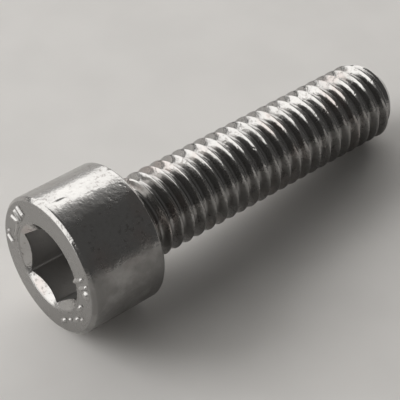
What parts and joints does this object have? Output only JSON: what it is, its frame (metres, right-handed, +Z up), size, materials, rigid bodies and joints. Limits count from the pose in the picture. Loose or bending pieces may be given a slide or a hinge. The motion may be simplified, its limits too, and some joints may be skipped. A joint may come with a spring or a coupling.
{
  "type": "hex socket cap screw",
  "caption": "Socket head cap screw: a plain cylindrical head with a hexagon socket and a shank threaded up to a short neck.",
  "frame": {"origin": "on the floor under the middle of the screw, which lies on its side as it comes to rest", "axes": "+Z up from the floor, +X along the screw from the head to the point, +Y to the left of that. The screw's own axis dips towards the point by 4.8 degrees in the XZ plane, because the head is wider than the thread"},
  "size_m": [0.031, 0.01, 0.0104],
  "materials": {
    "stainless_steel": "bright rolled stainless steel, lightly handled"
  },
  "bodies": {
    "root": {"cap_screw": "stainless_steel"}
  },
  "joints": []
}
